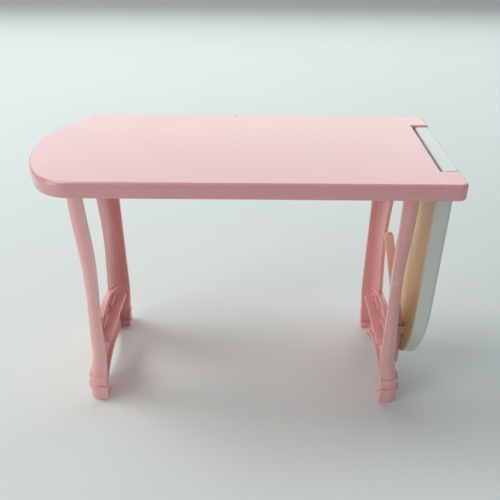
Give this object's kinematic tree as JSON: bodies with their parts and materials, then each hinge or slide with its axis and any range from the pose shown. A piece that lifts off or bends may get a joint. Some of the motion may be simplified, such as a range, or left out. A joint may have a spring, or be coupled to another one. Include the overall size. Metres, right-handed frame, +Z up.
{
  "type": "miniature dressing table",
  "caption": "Doll-scale moulded plastic dressing table with a bowed end, two arched leg frames and a mirror leaf that folds down into a notch.",
  "frame": {"origin": "on the floor under the middle of the tabletop", "axes": "+X along the table towards the mirror, -Y towards the user, +Z up"},
  "size_m": [0.17, 0.078, 0.115],
  "materials": {
    "pink_plastic": "satin moulded",
    "white_plastic": "satin moulded",
    "mirror_sheet": "polished",
    "tan_plastic": "matt moulded"
  },
  "bodies": {
    "table": {"tabletop": "pink_plastic", "leg_frame_left": "pink_plastic", "leg_frame_right": "pink_plastic"},
    "mirror": {"mirror_frame": "white_plastic", "mirror_plate": "mirror_sheet", "mirror_back": "tan_plastic"},
    "lever": {"fold_lever": "tan_plastic"}
  },
  "joints": [
    {"name": "mirror_fold", "type": "hinge", "parent": "table", "child": "mirror", "pos_m": [0.0818, 0, 0.1113], "axis": [0, -1, 0], "range_deg": [0, 183]},
    {"name": "lever_swing", "type": "hinge", "parent": "mirror", "child": "lever", "pos_m": [0.07585, -0.0085, 0.027], "axis": [0, 1, 0], "range_deg": [0, 6]}
  ]
}
